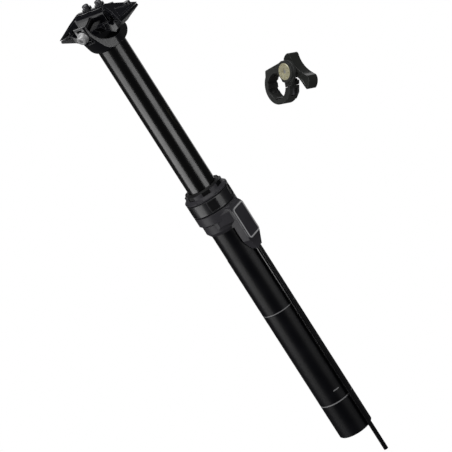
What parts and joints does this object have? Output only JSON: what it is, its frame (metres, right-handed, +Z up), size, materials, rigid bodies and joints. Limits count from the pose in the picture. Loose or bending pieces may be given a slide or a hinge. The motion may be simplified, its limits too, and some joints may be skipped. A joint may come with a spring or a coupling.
{
  "type": "dropper seatpost",
  "caption": "Tilted saddle clamp on a sliding mast in an outer post, with a collar cable box, a run of cable housing and a separate thumb remote.",
  "frame": {"origin": "on the post's axis, at the highest place that the frame's seat tube can reach, just below the cable box", "axes": "+Z up the post, +Y to the front of the bicycle, +X to the side with the cable box"},
  "size_m": [0.1296, 0.1346, 0.4644],
  "materials": {
    "black_tube": "satin black with a soft sheen",
    "stanchion_black": "gloss black anodised",
    "forged_black": "gloss black",
    "collar_black": "satin black anodised",
    "gloss_band": "gloss black",
    "rubber": "matte",
    "foam": "open foam",
    "bush": "dark bearing plastic",
    "black_plastic": "satin",
    "steel": "brushed",
    "black_steel": "blackened",
    "alloy": "turned",
    "gold": "pale gold anodised",
    "housing": "smooth black sheath",
    "lever": "gloss black",
    "remote_black": "satin black anodised"
  },
  "bodies": {
    "outer_post": {"lower_tube": "black_tube", "collar_body": "collar_black", "lock_ring": "gloss_band", "castle_ring": "collar_black", "wiper_seal": "rubber", "foam_ring": "foam", "upper_bush": "bush", "snap_ring": "steel", "actuator_cover": "black_plastic", "shuttle_spring": "steel", "housing_ferrule": "black_plastic", "cable_housing": "housing", "foot_plug": "alloy", "rocker_pin": "steel", "foot_cover": "black_plastic", "piston_rod": "steel", "piston": "alloy", "piston_ring": "rubber", "bar_clamp_body": "remote_black", "bar_clamp_band": "remote_black", "hinge_pin": "black_steel", "clamp_bolt": "black_steel", "pivot_axle": "steel", "pivot_nut": "steel", "pivot_cap": "gold"},
    "shuttle": {"shuttle": "alloy", "wire_nipple": "steel", "pull_wire": "steel", "push_rod": "steel"},
    "rocker": {"valve_rocker": "steel"},
    "valve": {"valve_pin": "steel"},
    "mast": {"stanchion": "stanchion_black", "seat_head": "forged_black", "guide_keys": "steel", "lower_bush": "bush", "mast_foot_ring": "alloy", "cartridge_tube": "alloy", "rod_gland": "alloy", "top_out_bumper": "rubber", "floating_piston": "bush", "cartridge_cap": "alloy"},
    "saddle_clamp": {"lower_cradle": "forged_black", "upper_clamp": "forged_black", "clamp_barrel": "black_steel", "rail_bolts": "black_steel", "rear_tilt_bolt": "steel", "rear_tilt_washer": "steel", "front_tilt_bolt": "black_steel", "front_tilt_washer": "black_steel"},
    "remote_lever": {"thumb_lever": "lever", "lever_bush": "bush", "return_spring": "steel", "wire_anchor": "steel"}
  },
  "joints": [
    {"name": "mast_slide", "type": "slide", "parent": "outer_post", "child": "mast", "axis": [0, 0, 1], "range_m": [-0.125, 0]},
    {"name": "clamp_tilt", "type": "hinge", "parent": "mast", "child": "saddle_clamp", "pos_m": [0, 0, 0.2404], "axis": [1, 0, 0], "range_deg": [-8, 8]},
    {"name": "lever_press", "type": "hinge", "parent": "outer_post", "child": "remote_lever", "pos_m": [0.07023, 0.08739, 0.10919], "axis": [0.153, 0.8863, -0.4371], "range_deg": [0, 22]},
    {"name": "shuttle_slide", "type": "slide", "parent": "outer_post", "child": "shuttle", "axis": [0, 0, -1], "range_m": [0, 0.003], "stiffness_N_per_m": 2000, "springref_m": -0.001, "deforming": ["shuttle_spring"]},
    {"name": "rocker_tilt", "type": "hinge", "parent": "outer_post", "child": "rocker", "pos_m": [0.0055, 0, -0.1803], "axis": [0, 1, 0], "range_deg": [0, 20]},
    {"name": "valve_slide", "type": "slide", "parent": "outer_post", "child": "valve", "axis": [0, 0, 1], "range_m": [0, 0.0022]}
  ],
  "couplings": [
    {"joint": "lever_press", "follows": "shuttle_slide", "rad_per_m": 127.99},
    {"joint": "rocker_tilt", "follows": "shuttle_slide", "rad_per_m": 116.35},
    {"joint": "valve_slide", "follows": "shuttle_slide", "ratio": 0.7333}
  ]
}
